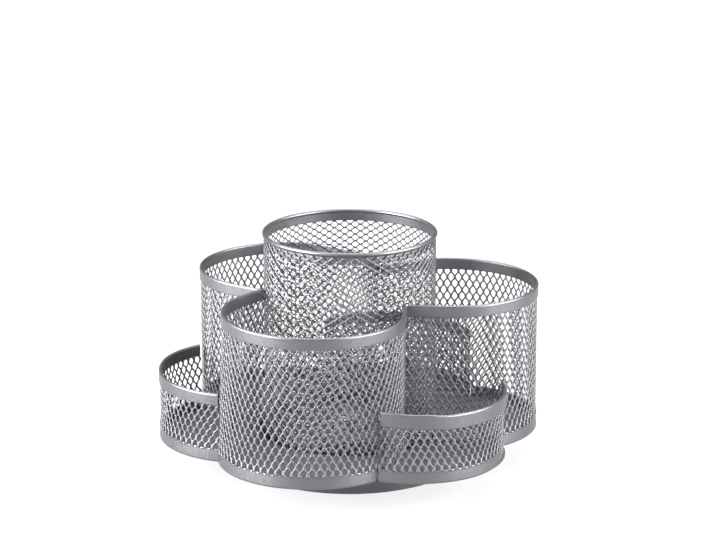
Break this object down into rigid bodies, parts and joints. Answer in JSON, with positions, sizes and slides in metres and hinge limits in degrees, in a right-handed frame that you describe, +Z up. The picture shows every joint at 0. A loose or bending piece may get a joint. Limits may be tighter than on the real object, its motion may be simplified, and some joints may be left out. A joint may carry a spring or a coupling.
{
  "type": "rotating desk organizer",
  "caption": "Round desk organizer of silver-grey painted metal mesh: a tall centre cup ringed by alternating tall and low open compartments, turning freely on a low round base.",
  "frame": {"origin": "centre of the face of the anti-slip ring that stands on the desk, on the turning axis", "axes": "+Z up along the turning axis; -Y towards the side first looked at, with a tall compartment 20.5 degrees to its left"},
  "size_m": [0.1589, 0.1541, 0.0995],
  "materials": {
    "silver_paint": "satin silver-grey paint",
    "silver_mesh": "satin silver-grey paint on expanded mesh",
    "bearing_steel": "oiled bare steel",
    "zinc_steel": "bright zinc plate",
    "nylon": "natural nylon",
    "black_rubber": "matt"
  },
  "bodies": {
    "base": {"base_dish": "silver_paint", "anti_slip_ring": "black_rubber", "lower_race": "bearing_steel", "base_rivets": "zinc_steel", "pivot_bolt": "zinc_steel", "pivot_bush": "nylon", "pivot_washer": "zinc_steel", "pivot_lock_nut": "zinc_steel"},
    "cage": {"ball_cage": "nylon", "bearing_balls": "bearing_steel"},
    "carousel": {"tall_front_mesh": "silver_mesh", "tall_front_rim": "silver_paint", "tall_front_band": "silver_paint", "tall_right_mesh": "silver_mesh", "tall_right_rim": "silver_paint", "tall_right_band": "silver_paint", "tall_rear_mesh": "silver_mesh", "tall_rear_rim": "silver_paint", "tall_rear_band": "silver_paint", "low_front_mesh": "silver_mesh", "low_front_rim": "silver_paint", "low_front_band": "silver_paint", "low_left_mesh": "silver_mesh", "low_left_rim": "silver_paint", "low_left_band": "silver_paint", "low_rear_mesh": "silver_mesh", "low_rear_rim": "silver_paint", "low_rear_band": "silver_paint", "cup_mesh": "silver_mesh", "cup_rim": "silver_paint", "cup_foot_ring": "silver_paint", "floor_plate": "silver_paint", "upper_race": "bearing_steel", "floor_rivets": "zinc_steel"}
  },
  "joints": [
    {"name": "carousel_spin", "type": "hinge", "parent": "base", "child": "carousel", "pos_m": [0, 0, 0.00945], "axis": [0, 0, 1], "continuous": true},
    {"name": "cage_spin", "type": "hinge", "parent": "base", "child": "cage", "pos_m": [0, 0, 0.00945], "axis": [0, 0, 1], "continuous": true}
  ],
  "couplings": [
    {"joint": "cage_spin", "follows": "carousel_spin", "ratio": 0.5}
  ]
}
